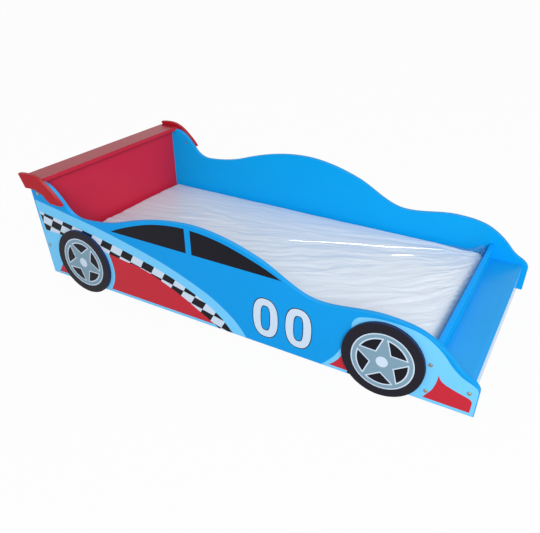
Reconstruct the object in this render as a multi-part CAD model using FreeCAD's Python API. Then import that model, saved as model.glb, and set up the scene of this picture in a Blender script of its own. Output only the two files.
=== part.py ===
"""A child's bed in the shape of a race car, made of painted boards that bolt together.

Frame: +X points to the nose of the car, +Y to its left side and +Z up. The origin is on the floor,
under the middle of the bed. Every length is in millimetres and every height is above the floor.
"""
import FreeCAD, Part
import math
import os

# ------------------------------------------------------------------ boards and the sleeping bay
board_thick = 15.0          # every upright, the hood, the spoiler and its end plates
edge_round = 1.5            # rounding of the painted edges
bay_length = 1419.0         # inside, headboard to footboard
bay_width = 734.0           # inside, side panel to side panel
panel_bottom = 26.0         # lower edge of the upright boards

# ------------------------------------------------------------------ tail and spoiler
spoiler_seat = 382.0        # top of the headboard and of the sides' rear end
spoiler_depth = 88.0        # along the car
spoiler_overhang = 20.5     # ahead of the headboard's inner face
tail_rake_top = 42.0        # rear edge of a side behind the headboard's inner face, at the seat
seat_lip = 6.0              # the sides stand this much above the seat just ahead of the spoiler
tail_bend_reach = 50.0      # ahead of the spoiler, where a side's top edge starts down to the step
tail_bend_drop = 10.5
tail_dive_reach = 105.0     # and its steepest point
tail_dive_sag = 19.0        # below the middle between the seat and the step

# ------------------------------------------------------------------ spoiler end plates
fin_lip = 15.5              # their crest above the spoiler
fin_crest_set_back = 48.0   # crest ahead of the spoiler's rear edge
fin_heel_rise = 10.5        # top rear corner above the spoiler
fin_heel_round = 10.0       # length of that corner's round
fin_shoulder_reach = 38.0   # ahead of the spoiler, where the top edge dives
fin_shoulder_drop = 12.0
fin_knee_reach = 70.0
fin_knee_drop = 40.0
fin_nose_reach = 99.0       # tip of an end plate ahead of the spoiler
fin_nose_drop = 58.5        # and below the seat
fin_nose_cut = 7.0          # blunt end of the tip
fin_belly_reach = 50.0      # underside of the nose ahead of the spoiler
fin_throat_reach = 22.0     # where the underside climbs to the tail
fin_throat_drop = 42.0
fin_crook_drop = 27.0
fin_belly_set_back = 35.0   # behind the spoiler's front edge
fin_belly_drop = 21.0       # underside of an end plate's tail below the seat
fin_tail_inset = 20.0       # lower rear corner ahead of the spoiler's rear edge

# ------------------------------------------------------------------ footboard, hood and nose
footboard_height = 180.0    # top of the footboard above the floor
hood_top = 123.0
hood_depth = 94.3           # footboard to nose board
nose_overhang = 17.4        # sides ahead of the nose board

# ------------------------------------------------------------------ top edge of the sides
step_height = 284.0         # low step ahead of the spoiler
step_reach = 192.5          # ahead of the headboard's inner face
roof_height = 369.7
scuttle_height = 239.0      # low stretch between the roof and the front wheel arch
scuttle_reach = 207.0       # behind the front axle
arch_height = 257.0         # crest over the front wheel
arch_crest_shift = 7.0      # behind the front axle
brow_height = 234.9         # where the edge turns down to the nose
brow_shift = 9.0            # behind the footboard's inner face
nose_slope_height = 174.0
nose_slope_reach = 70.5     # behind the nose's end
nose_brow_height = 144.5
nose_brow_reach = 30.5
nose_corner_height = 109.0  # where the nose corner becomes the upright front edge

# ------------------------------------------------------------------ wheels
wheel_radius = 120.5
wheel_thick = 12.0
standing_flat = 0.5         # depth of the flat that each wheel stands on
wheel_edge_round = 1.2
rear_axle_inset = 170.5     # ahead of the headboard's inner face
front_axle_inset = 121.8    # behind the footboard's inner face

# ------------------------------------------------------------------ bed base and mattress
base_top = 60.0             # upper face of the slats
slat_thick = 12.0
slat_width = 60.0
slat_count = 14
slat_end_gap = 1.0          # slat end to side panel
batten_height = 20.0
batten_depth = 20.0
batten_end_gap = 5.0
first_slat_inset = 40.0     # headboard to the first slat's centre line, and the same at the foot
mattress_side_height = 78.0
mattress_crown = 10.0
mattress_side_gap = 2.0
mattress_end_gap = 9.0
mattress_side_draw = 4.0    # how far each long side pulls in between its corners
mattress_side_bulge = 6.0
soft_gap = 0.3              # a soft solid stays this clear of what it lies on

# ------------------------------------------------------------------ fasteners
bolt_diameter = 6.0
bolt_length = 50.0
bolt_head_diameter = 12.0
bolt_head_height = 2.6
bolt_socket = 4.0           # across the flats of the hexagon socket
bolt_socket_depth = 1.6
nut_diameter = 10.0
nut_length = 12.0
nut_inset = 35.0            # barrel nut's axis from the board's end
dowel_diameter = 8.0
dowel_length = 24.0
dowel_face_depth = 10.0     # the part of a dowel that sits in a board's face
dowel_chamfer = 0.8
screw_diameter = 4.0
screw_head_diameter = 8.0
screw_head_height = 2.4
screw_bite = 10.0           # thread in the second board
fit_clearance = 0.1         # radial, between a fastener and its hole

head_bolt_heights = (141.4, 341.6)
foot_bolt_heights = (60.9, 150.4)
nose_bolt_height = 99.8
head_dowel_heights = (90.0, 241.0)
foot_dowel_height = 105.0
nose_dowel_height = 52.0
hood_dowel_spacing = 250.0
spoiler_dowel_spacing = 190.0
spoiler_end_dowel_spacing = 50.0
plate_screw_places = ((75.5, 44.0), (-27.5, 10.0))     # ahead of the headboard, below the seat
wheel_screw_bite = 9.0
wheel_screw_spread = 55.0   # either side of the axle line
wheel_screw_drops = (5.0, 45.0)

# ------------------------------------------------------------------ places worked out from the sizes
tail_reach = spoiler_depth - spoiler_overhang
overall_length = tail_reach + bay_length + board_thick + hood_depth + board_thick + nose_overhang
bay_start = -overall_length / 2 + tail_reach
bay_end = bay_start + bay_length
nose_board_back = bay_end + board_thick + hood_depth
nose_end = overall_length / 2
spoiler_front = bay_start + spoiler_overhang
spoiler_rear = bay_start - tail_reach
side_inner = bay_width / 2
side_outer = side_inner + board_thick
axle_height = wheel_radius - standing_flat
rear_axle = bay_start + rear_axle_inset
front_axle = bay_end - front_axle_inset
head_centre = bay_start - board_thick / 2
foot_centre = bay_end + board_thick / 2
nose_centre = nose_board_back + board_thick / 2
spoiler_top = spoiler_seat + board_thick
slat_bottom = base_top - slat_thick
batten_bottom = slat_bottom - batten_height
slat_pitch = (bay_length - 2 * first_slat_inset) / (slat_count - 1)
slat_places = [bay_start + first_slat_inset + i * slat_pitch for i in range(slat_count)]

X = FreeCAD.Vector(1, 0, 0)
Y = FreeCAD.Vector(0, 1, 0)
Z = FreeCAD.Vector(0, 0, 1)


def point(x, y, z):
    return FreeCAD.Vector(x, y, z)


# ------------------------------------------------------------------ outlines
def smooth_edges(knots):
    """Edges through knots (x, z, heading in degrees), each a cubic whose ends follow the headings."""
    edges = []
    for (x0, z0, heading0), (x1, z1, heading1) in zip(knots, knots[1:]):
        reach = math.hypot(x1 - x0, z1 - z0) / 3
        turn0 = math.radians(heading0)
        turn1 = math.radians(heading1)
        curve = Part.BezierCurve()
        curve.setPoles([
            point(x0, 0, z0),
            point(x0 + reach * math.cos(turn0), 0, z0 + reach * math.sin(turn0)),
            point(x1 - reach * math.cos(turn1), 0, z1 - reach * math.sin(turn1)),
            point(x1, 0, z1),
        ])
        edges.append(curve.toShape())
    return edges


def straight_edges(corners):
    """Straight edges through corners (x, z)."""
    ends = [point(x, 0, z) for x, z in corners]
    return [Part.makeLine(a, b) for a, b in zip(ends, ends[1:])]


def board_from_outline(edges, y_low):
    """A board cut to an outline in the XZ plane, from y_low towards +Y, with rounded edges."""
    face = Part.Face(Part.Wire(Part.__sortEdges__(edges)))
    solid = face.extrude(Y * board_thick)
    rims = [edge for edge in solid.Edges if edge.BoundBox.YLength < edge_round]
    solid = solid.makeFillet(edge_round, rims)
    solid.translate(Y * y_low)
    return solid


# ------------------------------------------------------------------ tools for holes and fasteners
def rod(start, direction, diameter, length):
    return Part.makeCylinder(diameter / 2, length, start, direction)


def cut_all(solid, tools):
    return solid.cut(Part.makeCompound(tools)) if tools else solid


def countersunk_screw(head_face, direction, length):
    """A wood screw whose flat head lies in the face at head_face."""
    head = Part.makeCone(screw_head_diameter / 2, screw_diameter / 2, screw_head_height,
                         head_face, direction)
    tip_length = screw_diameter
    neck = head_face + direction * screw_head_height
    shank_length = length - screw_head_height - tip_length
    shank = rod(neck, direction, screw_diameter, shank_length)
    tip = Part.makeCone(screw_diameter / 2, screw_diameter / 8, tip_length,
                        neck + direction * shank_length, direction)
    return head.fuse([shank, tip]).removeSplitter()


def screw_hole(head_face, direction, length):
    """The countersunk hole for such a screw, with the fit clearance all round."""
    sink = Part.makeCone(screw_head_diameter / 2 + fit_clearance, screw_diameter / 2 + fit_clearance,
                         screw_head_height + fit_clearance, head_face, direction)
    shaft = rod(head_face, direction, screw_diameter + 2 * fit_clearance, length + fit_clearance)
    return sink.fuse(shaft)


def dowel(face_point, direction):
    """A dowel that crosses a joint: its end lies dowel_face_depth behind face_point."""
    start = face_point - direction * dowel_face_depth
    solid = rod(start, direction, dowel_diameter, dowel_length)
    ends = [edge for edge in solid.Edges if edge.Closed]
    return solid.makeChamfer(dowel_chamfer, ends)


def dowel_hole(face_point, direction):
    start = face_point - direction * (dowel_face_depth + fit_clearance)
    return rod(start, direction, dowel_diameter + 2 * fit_clearance, dowel_length + 2 * fit_clearance)


def connector_bolt(outer_point, direction):
    """A bolt whose low round head with a hexagon socket lies on the face at outer_point."""
    head = rod(outer_point - direction * bolt_head_height, direction, bolt_head_diameter,
               bolt_head_height)
    crown = [edge for edge in head.Edges
             if edge.Closed and (edge.CenterOfMass - outer_point).Length > bolt_head_height / 2]
    head = head.makeFillet(bolt_head_height * 0.6, crown)
    shank = rod(outer_point, direction, bolt_diameter, bolt_length)
    corner_radius = bolt_socket / math.sqrt(3)
    top = outer_point - direction * bolt_head_height
    corners = [top + X * (corner_radius * math.cos(math.radians(60 * i)))
               + Z * (corner_radius * math.sin(math.radians(60 * i))) for i in range(7)]
    socket = Part.Face(Part.makePolygon(corners)).extrude(direction * bolt_socket_depth)
    return head.fuse(shank).removeSplitter().cut(socket)


def bolt_hole(outer_point, direction):
    return rod(outer_point, direction, bolt_diameter + 2 * fit_clearance, bolt_length + fit_clearance)


def barrel_nut(axis_point, into_board):
    """A round cross nut, its axis along the board's thickness, with the bolt's hole through it."""
    start = axis_point - into_board * (nut_length / 2)
    body = rod(start, into_board, nut_diameter, nut_length)
    hole = rod(axis_point - Y * nut_diameter, Y, bolt_diameter + 2 * fit_clearance, 2 * nut_diameter)
    return body.cut(hole)


def nut_hole(axis_point, into_board):
    """The nut's blind hole, open at the board's face behind the nut."""
    start = axis_point - into_board * (board_thick / 2)
    depth = board_thick / 2 + nut_length / 2 + fit_clearance
    return rod(start, into_board, nut_diameter + 2 * fit_clearance, depth)


# ------------------------------------------------------------------ fastener places
sides = (-1, 1)             # -1 is the right side, +1 the left


def bolt_places(x, heights):
    """Outer ends and inward directions of the bolts that hold a cross board at x."""
    return [(point(x, side * side_outer, height), Y * -side) for side in sides for height in heights]


def nut_places(x, heights, into_board):
    return [(point(x, side * (side_inner - nut_inset), height), into_board)
            for side in sides for height in heights]


def end_dowel_places(x, heights):
    return [(point(x, side * side_inner, height), Y * -side) for side in sides for height in heights]


head_bolts = bolt_places(head_centre, head_bolt_heights)
foot_bolts = bolt_places(foot_centre, foot_bolt_heights)
nose_bolts = bolt_places(nose_centre, (nose_bolt_height,))
head_nuts = nut_places(head_centre, head_bolt_heights, X)
foot_nuts = nut_places(foot_centre, foot_bolt_heights, X)
nose_nuts = nut_places(nose_centre, (nose_bolt_height,), X)
head_dowels = end_dowel_places(head_centre, head_dowel_heights)
foot_dowels = end_dowel_places(foot_centre, (foot_dowel_height,))
nose_dowels = end_dowel_places(nose_centre, (nose_dowel_height,))

hood_middle = hood_top - board_thick / 2
hood_dowels = []
for row in (-1, 0, 1):
    across = row * hood_dowel_spacing
    hood_dowels.append((point(bay_end + board_thick, across, hood_middle), X))
    hood_dowels.append((point(nose_board_back, across, hood_middle), X * -1))

spoiler_centre = (spoiler_front + spoiler_rear) / 2
spoiler_dowels = []
for row in (-1.5, -0.5, 0.5, 1.5):
    spoiler_dowels.append((point(head_centre, row * spoiler_dowel_spacing, spoiler_seat), Z * -1))
for side in sides:
    for row in (-0.5, 0.5):
        along = spoiler_centre + row * spoiler_end_dowel_spacing
        spoiler_dowels.append((point(along, side * side_outer, spoiler_seat + board_thick / 2),
                               Y * -side))

board_screw_length = board_thick + screw_bite
plate_screws = []
for side in sides:
    for reach, drop in plate_screw_places:
        place = point(bay_start + reach, side * side_inner, spoiler_seat - drop)
        plate_screws.append((place, Y * side))

wheel_screw_length = board_thick + wheel_screw_bite
wheel_screws = []
for side in sides:
    for axle in (rear_axle, front_axle):
        for along in (-wheel_screw_spread, wheel_screw_spread):
            for drop in wheel_screw_drops:
                place = point(axle + along, side * side_inner, axle_height - drop)
                wheel_screws.append((place, Y * side))

batten_screw_length = batten_depth + screw_bite
batten_screws = []
for side in sides:
    for i in range(0, slat_count - 1, 2):
        place = point(slat_places[i] + slat_pitch / 2, side * (side_inner - batten_depth),
                      batten_bottom + batten_height / 2)
        batten_screws.append((place, Y * side))

slat_screw_length = slat_thick + screw_bite
slat_screws = []
for x in slat_places:
    for side in sides:
        slat_screws.append((point(x, side * (side_inner - batten_depth / 2), base_top), Z * -1))


# ------------------------------------------------------------------ side panels
def side_outline():
    """The race-car outline: tail, spoiler seat, step, roof, scuttle, wheel arch, nose and bottom."""
    step_x = bay_start + step_reach
    scuttle_x = front_axle - scuttle_reach
    roof_span = scuttle_x - step_x
    roof_rise = roof_height - step_height
    crest = [
        (spoiler_front, spoiler_seat + seat_lip, 5),
        (spoiler_front + tail_bend_reach, spoiler_seat - tail_bend_drop, -36),
        (spoiler_front + tail_dive_reach, (spoiler_seat + step_height) / 2 - tail_dive_sag, -50),
        (step_x, step_height, 2),
        (step_x + 0.2 * roof_span, step_height + 0.36 * roof_rise, 19),
        (step_x + 0.52 * roof_span, roof_height, 0),
        (step_x + 0.78 * roof_span, scuttle_height + 0.64 * (roof_height - scuttle_height), -20.5),
        (scuttle_x, scuttle_height, -3.5),
        (front_axle - arch_crest_shift, arch_height, -2),
        (bay_end - brow_shift, brow_height, -26),
        (nose_end - nose_slope_reach, nose_slope_height, -48),
        (nose_end - nose_brow_reach, nose_brow_height, -24),
        (nose_end, nose_corner_height, -90),
    ]
    rest = [
        (nose_end, nose_corner_height),
        (nose_end, panel_bottom),
        (bay_start - board_thick, panel_bottom),
        (bay_start - tail_rake_top, spoiler_seat),
        (spoiler_front, spoiler_seat),
        (spoiler_front, spoiler_seat + seat_lip),
    ]
    return smooth_edges(crest) + straight_edges(rest)


def side_panel(side):
    solid = board_from_outline(side_outline(), min(side * side_inner, side * side_outer))
    tools = [bolt_hole(p, d) for p, d in head_bolts + foot_bolts + nose_bolts if p.y * side > 0]
    tools += [dowel_hole(p, d) for p, d in head_dowels + foot_dowels + nose_dowels if p.y * side > 0]
    tools += [screw_hole(p, d, board_screw_length) for p, d in plate_screws if p.y * side > 0]
    tools += [screw_hole(p, d, wheel_screw_length) for p, d in wheel_screws if p.y * side > 0]
    tools += [screw_hole(p, d, batten_screw_length) for p, d in batten_screws if p.y * side > 0]
    return cut_all(solid, tools)


# ------------------------------------------------------------------ cross boards
def box_board(x_low, x_high, y_half, z_low, z_high, rounded):
    """A box-shaped board. rounded picks the edges that are rounded, by their middle point."""
    solid = Part.makeBox(x_high - x_low, 2 * y_half, z_high - z_low, point(x_low, -y_half, z_low))
    chosen = [edge for edge in solid.Edges if edge.BoundBox.YLength > y_half and rounded(edge.CenterOfMass)]
    return solid.makeFillet(edge_round, chosen)


def headboard_panel():
    solid = box_board(bay_start - board_thick, bay_start, side_inner, panel_bottom, spoiler_seat,
                      lambda middle: middle.z < panel_bottom + edge_round)
    tools = [bolt_hole(p, d) for p, d in head_bolts] + [nut_hole(p, d) for p, d in head_nuts]
    tools += [dowel_hole(p, d) for p, d in head_dowels + spoiler_dowels]
    return cut_all(solid, tools)


def footboard_panel():
    solid = box_board(bay_end, bay_end + board_thick, side_inner, panel_bottom, footboard_height,
                      lambda middle: True)
    tools = [bolt_hole(p, d) for p, d in foot_bolts] + [nut_hole(p, d) for p, d in foot_nuts]
    tools += [dowel_hole(p, d) for p, d in foot_dowels + hood_dowels]
    return cut_all(solid, tools)


def nose_board():
    solid = box_board(nose_board_back, nose_board_back + board_thick, side_inner, panel_bottom, hood_top,
                      lambda middle: middle.x > nose_centre)
    tools = [bolt_hole(p, d) for p, d in nose_bolts] + [nut_hole(p, d) for p, d in nose_nuts]
    tools += [dowel_hole(p, d) for p, d in nose_dowels + hood_dowels]
    return cut_all(solid, tools)


def hood_board():
    solid = Part.makeBox(hood_depth, bay_width, board_thick,
                         point(bay_end + board_thick, -side_inner, hood_top - board_thick))
    return cut_all(solid, [dowel_hole(p, d) for p, d in hood_dowels])


def spoiler_board():
    solid = box_board(spoiler_rear, spoiler_front, side_outer, spoiler_seat, spoiler_top,
                      lambda middle: True)
    return cut_all(solid, [dowel_hole(p, d) for p, d in spoiler_dowels])


# ------------------------------------------------------------------ spoiler end plates
def end_plate_outline():
    """A swept fin: raked tail, long top, a nose that follows the side's edge and a hollow belly."""
    tip = (spoiler_front + fin_nose_reach, spoiler_seat - fin_nose_drop)
    fin_crest = spoiler_top + fin_lip
    lower_tail = (spoiler_rear + fin_tail_inset, spoiler_seat - fin_belly_drop - 2)
    upper_tail = (spoiler_rear - 1, spoiler_top + fin_heel_rise)
    crown = [
        (*upper_tail, 70),
        (upper_tail[0] + fin_heel_round, upper_tail[1] + fin_heel_round / 4, 9),
        (spoiler_rear + fin_crest_set_back, fin_crest, 0),
        (spoiler_front - 5, fin_crest - 5, -17),
        (spoiler_front + fin_shoulder_reach, spoiler_top - fin_shoulder_drop, -39),
        (spoiler_front + fin_knee_reach, spoiler_top - fin_knee_drop, -44),
        (*tip, -55),
    ]
    belly = [
        (tip[0] - fin_nose_cut, tip[1] - 1, -172),
        (spoiler_front + fin_belly_reach, tip[1] - 0.5, -180),
        (spoiler_front + fin_throat_reach, spoiler_seat - fin_throat_drop, -233),
        (spoiler_front - 4, spoiler_seat - fin_crook_drop, -202),
        (spoiler_front - fin_belly_set_back, spoiler_seat - fin_belly_drop, -180),
        (*lower_tail, -175),
    ]
    ends = straight_edges([tip, belly[0][:2]]) + straight_edges([lower_tail, upper_tail])
    return smooth_edges(crown) + smooth_edges(belly) + ends


def spoiler_end_plate(side):
    outer = side * (side_outer + board_thick)
    solid = board_from_outline(end_plate_outline(), min(side * side_outer, outer))
    tools = [screw_hole(p, d, board_screw_length) for p, d in plate_screws if p.y * side > 0]
    tools += [dowel_hole(p, d) for p, d in spoiler_dowels if p.y * side > side_inner]
    return cut_all(solid, tools)


# ------------------------------------------------------------------ wheels
def wheel_disc(axle, side):
    inner_face = point(axle, side * side_outer, axle_height)
    solid = rod(inner_face, Y * side, 2 * wheel_radius, wheel_thick)
    rim = [edge for edge in solid.Edges if edge.Closed]
    solid = solid.makeFillet(wheel_edge_round, rim)
    below = Part.makeBox(2 * wheel_radius, 4 * wheel_thick, wheel_radius,
                         point(axle - wheel_radius, side * side_outer - 2 * wheel_thick, -wheel_radius))
    tools = [below]
    for p, d in wheel_screws:
        if p.y * side > 0 and abs(p.x - axle) < wheel_radius:
            tools.append(screw_hole(p, d, wheel_screw_length))
    return cut_all(solid, tools)


# ------------------------------------------------------------------ bed base
def support_batten(side):
    length = bay_length - 2 * batten_end_gap
    low_y = min(side * side_inner, side * (side_inner - batten_depth))
    solid = Part.makeBox(length, batten_depth, batten_height,
                         point(bay_start + batten_end_gap, low_y, batten_bottom))
    tools = [screw_hole(p, d, batten_screw_length) for p, d in batten_screws if p.y * side > 0]
    tools += [screw_hole(p, d, slat_screw_length) for p, d in slat_screws if p.y * side > 0]
    return cut_all(solid, tools)


def slat(x):
    half = side_inner - slat_end_gap
    solid = Part.makeBox(slat_width, 2 * half, slat_thick, point(x - slat_width / 2, -half, slat_bottom))
    long_top = [edge for edge in solid.Edges
                if edge.BoundBox.YLength > half and edge.CenterOfMass.z > slat_bottom + slat_thick / 2]
    solid = solid.makeFillet(edge_round, long_top)
    tools = [screw_hole(p, d, slat_screw_length) for p, d in slat_screws if abs(p.x - x) < slat_width / 2]
    return cut_all(solid, tools)


# ------------------------------------------------------------------ mattress
def mattress_section(x, half_width, low, side_top, crown):
    """A cross section: flat below, sides that swell outwards and a top that swells upwards."""
    edge_half = half_width - mattress_side_bulge
    middle = (low + side_top) / 2
    right_low = point(x, -edge_half, low)
    left_low = point(x, edge_half, low)
    right_high = point(x, -edge_half, side_top)
    left_high = point(x, edge_half, side_top)
    edges = [
        Part.makeLine(right_low, left_low),
        Part.Arc(left_low, point(x, half_width, middle), left_high).toShape(),
        Part.Arc(left_high, point(x, 0, side_top + crown), right_high).toShape(),
        Part.Arc(right_high, point(x, -half_width, middle), right_low).toShape(),
    ]
    return Part.Wire(edges)


def mattress():
    """Sections from one end to the other: rounded ends, full corners and sides drawn in between."""
    length = bay_length - 2 * mattress_end_gap
    widest = side_inner - mattress_side_gap
    low = base_top + soft_gap
    top = low + mattress_side_height
    # distance from the end, narrowing, lift of the underside, drop of the top edge, share of the crown
    end_forms = [
        (0.0, 14.0, 24.0, 30.0, 0.2),
        (5.0, 7.0, 12.0, 19.0, 0.3),
        (18.0, 2.0, 3.0, 11.0, 0.5),
        (50.0, 0.0, 0.0, 8.0, 0.7),
        (length * 0.12, mattress_side_draw * 0.4, 0.0, 4.0, 0.9),
        (length * 0.3, mattress_side_draw * 0.9, 0.0, 0.5, 1.0),
    ]
    stations = [(-length / 2 + form[0], form) for form in end_forms]
    stations.append((0.0, (0.0, mattress_side_draw, 0.0, 0.0, 1.0)))
    stations += [(length / 2 - form[0], form) for form in reversed(end_forms)]
    centre = (bay_start + bay_end) / 2
    sections = [mattress_section(centre + x, widest - narrow, low + lift, top - drop, share * mattress_crown)
                for x, (_, narrow, lift, drop, share) in stations]
    return Part.makeLoft(sections, True, True)


# ------------------------------------------------------------------ all pieces
pieces = {
    "side_panel_right": side_panel(-1),
    "side_panel_left": side_panel(1),
    "headboard_panel": headboard_panel(),
    "spoiler_board": spoiler_board(),
    "spoiler_end_plate_right": spoiler_end_plate(-1),
    "spoiler_end_plate_left": spoiler_end_plate(1),
    "footboard_panel": footboard_panel(),
    "hood_board": hood_board(),
    "nose_board": nose_board(),
    "wheel_disc_rear_right": wheel_disc(rear_axle, -1),
    "wheel_disc_rear_left": wheel_disc(rear_axle, 1),
    "wheel_disc_front_right": wheel_disc(front_axle, -1),
    "wheel_disc_front_left": wheel_disc(front_axle, 1),
    "support_batten_right": support_batten(-1),
    "support_batten_left": support_batten(1),
    "mattress": mattress(),
}
for number, x in enumerate(slat_places, 1):
    pieces["slat_%02d" % number] = slat(x)

groups = {
    "headboard_bolts": [connector_bolt(p, d) for p, d in head_bolts],
    "footboard_bolts": [connector_bolt(p, d) for p, d in foot_bolts],
    "nose_board_bolts": [connector_bolt(p, d) for p, d in nose_bolts],
    "headboard_barrel_nuts": [barrel_nut(p, d) for p, d in head_nuts],
    "footboard_barrel_nuts": [barrel_nut(p, d) for p, d in foot_nuts],
    "nose_board_barrel_nuts": [barrel_nut(p, d) for p, d in nose_nuts],
    "headboard_dowels": [dowel(p, d) for p, d in head_dowels],
    "footboard_dowels": [dowel(p, d) for p, d in foot_dowels],
    "nose_board_dowels": [dowel(p, d) for p, d in nose_dowels],
    "hood_dowels": [dowel(p, d) for p, d in hood_dowels],
    "spoiler_dowels": [dowel(p, d) for p, d in spoiler_dowels],
    "spoiler_plate_screws": [countersunk_screw(p, d, board_screw_length) for p, d in plate_screws],
    "wheel_screws": [countersunk_screw(p, d, wheel_screw_length) for p, d in wheel_screws],
    "batten_screws": [countersunk_screw(p, d, batten_screw_length) for p, d in batten_screws],
    "slat_screws": [countersunk_screw(p, d, slat_screw_length) for p, d in slat_screws],
}
for name, solids in groups.items():
    pieces[name] = Part.makeCompound(solids)

os.makedirs("parts", exist_ok=True)
for name, shape in pieces.items():
    shape.exportStep("parts/%s.step" % name)
    print("%-26s %3d solids  volume %10.1f  valid %s"
          % (name, len(shape.Solids), shape.Volume, shape.isValid()))
print("overall length %.1f, nodes %d" % (overall_length, len(pieces)))
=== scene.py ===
# %% [markdown]
# # A race-car bed, from bare boards to a finished picture
#
# The bed is built from painted boards that bolt together: two sides cut to the outline of a race
# car, a headboard, a footboard, a flat hood, a nose board, a spoiler and four wheel discs. A foam
# mattress lies inside it, still in its clear wrap.
#
# The boards come in ready made, as solids at their real size. This lesson adds what paint and print
# add in the factory, and the soft, wrinkled mattress, which no flat board can stand for.

# %% Load the boards
import math
import bpy
import numpy as np
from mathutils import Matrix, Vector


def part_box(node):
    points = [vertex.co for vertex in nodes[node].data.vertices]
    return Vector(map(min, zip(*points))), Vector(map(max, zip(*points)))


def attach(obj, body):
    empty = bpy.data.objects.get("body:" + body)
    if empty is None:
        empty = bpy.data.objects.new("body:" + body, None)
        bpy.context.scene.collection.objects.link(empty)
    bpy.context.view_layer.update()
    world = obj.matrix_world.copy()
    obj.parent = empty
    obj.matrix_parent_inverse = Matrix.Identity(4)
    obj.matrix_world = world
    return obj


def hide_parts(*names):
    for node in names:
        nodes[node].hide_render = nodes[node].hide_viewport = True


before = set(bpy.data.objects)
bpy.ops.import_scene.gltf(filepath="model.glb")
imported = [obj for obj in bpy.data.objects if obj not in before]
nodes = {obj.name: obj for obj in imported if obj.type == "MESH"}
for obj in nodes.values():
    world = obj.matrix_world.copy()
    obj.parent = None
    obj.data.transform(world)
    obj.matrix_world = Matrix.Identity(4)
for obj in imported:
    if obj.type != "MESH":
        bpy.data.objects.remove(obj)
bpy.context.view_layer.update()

# %% [markdown]
# ## Measures that everything else follows
#
# A printed stripe has to land on its board, so the places are read from the boards themselves.
# Prints are measured in millimetres from the rear axle, x towards the nose and z upwards, and the
# function that sticks one on turns that into metres in the scene.

# %% Measures from the boards
MM = 0.001
SIDES = {"right": -1, "left": 1}
BARE_RIM = 1.6  # mm of bare board below the lowest print

side_low, side_high = np.array(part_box("side_panel_right"))
wheel_low, wheel_high = np.array(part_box("wheel_disc_rear_right"))
front_low, front_high = np.array(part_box("wheel_disc_front_right"))
pad_low, pad_high = np.array(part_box("mattress"))

SIDE_FACE = -side_low[1]
SIDE_INNER = -side_high[1]
WHEEL_FACE = -wheel_low[1]
WHEEL_RADIUS = (wheel_high[0] - wheel_low[0]) / 2
REAR_AXLE = (wheel_low[0] + wheel_high[0]) / 2
FRONT_AXLE = (front_low[0] + front_high[0]) / 2
AXLE_HEIGHT = wheel_high[2] - WHEEL_RADIUS
PRINT_BOTTOM = (side_low[2] - AXLE_HEIGHT) / MM + BARE_RIM
print("wheel radius %.4f, axles at %.3f and %.3f" % (WHEEL_RADIUS, REAR_AXLE, FRONT_AXLE))

# %% [markdown]
# ## The camera
#
# The photograph was taken standing by the nose, looking down and back along the bed. Its lens and
# place were worked out from straight edges and from the wheels, which must come out round. The
# picture is cut from a larger one, so its middle isn't where the lens pointed: the vertical shift
# puts the lens axis back a little below the middle.

# %% Camera
CAMERA_PLACE = (0.8785, -1.5741, 1.0776)
CAMERA_PITCH = 33.617
CAMERA_YAW = 29.982
FOCAL_PIXELS = 552.67
PICTURE_WIDTH = 540
PICTURE_HEIGHT = 533
LENS_AXIS_ROW = 310.0
SENSOR = 36.0

camera_data = bpy.data.cameras.new("camera")
camera_data.sensor_width = SENSOR
camera_data.lens = FOCAL_PIXELS / PICTURE_WIDTH * SENSOR
camera_data.shift_y = (LENS_AXIS_ROW - PICTURE_HEIGHT / 2) / PICTURE_WIDTH
camera = bpy.data.objects.new("camera", camera_data)
camera.location = CAMERA_PLACE
camera.rotation_euler = (math.radians(90 - CAMERA_PITCH), 0, math.radians(CAMERA_YAW))
bpy.context.collection.objects.link(camera)
bpy.context.scene.camera = camera
print("lens %.2f mm, shift %.3f" % (camera_data.lens, camera_data.shift_y))

# %% [markdown]
# ## Shader maths as plain Python
#
# A material is a small graph of nodes. Written out node by node it is hard to read, so one class
# wraps a node's output and lets it take part in arithmetic: `1 - mask * 0.3` adds the Math nodes.
# A second class holds a material and adds any other node in one call.

# %% Wires
def plug(value, slot):
    """Puts a number or colour into an input, or links a wire to it."""
    if isinstance(value, Wire):
        slot.id_data.links.new(value.socket, slot)
    else:
        slot.default_value = value


class Wire:
    """A node's output. Arithmetic on it adds Math nodes and gives another wire."""

    def __init__(self, socket):
        self.socket = socket

    def math(self, operation, *values):
        node = self.socket.id_data.nodes.new("ShaderNodeMath")
        node.operation = operation
        for value, slot in zip(values, node.inputs):
            plug(value, slot)
        return Wire(node.outputs[0])

    def __add__(self, other): return self.math("ADD", self, other)
    def __radd__(self, other): return self.math("ADD", other, self)
    def __sub__(self, other): return self.math("SUBTRACT", self, other)
    def __rsub__(self, other): return self.math("SUBTRACT", other, self)
    def __mul__(self, other): return self.math("MULTIPLY", self, other)
    def __rmul__(self, other): return self.math("MULTIPLY", other, self)
    def __abs__(self): return self.math("ABSOLUTE", self)
    def least(self, other): return self.math("MINIMUM", self, other)
    def most(self, other): return self.math("MAXIMUM", self, other)


print("wires ready")

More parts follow.
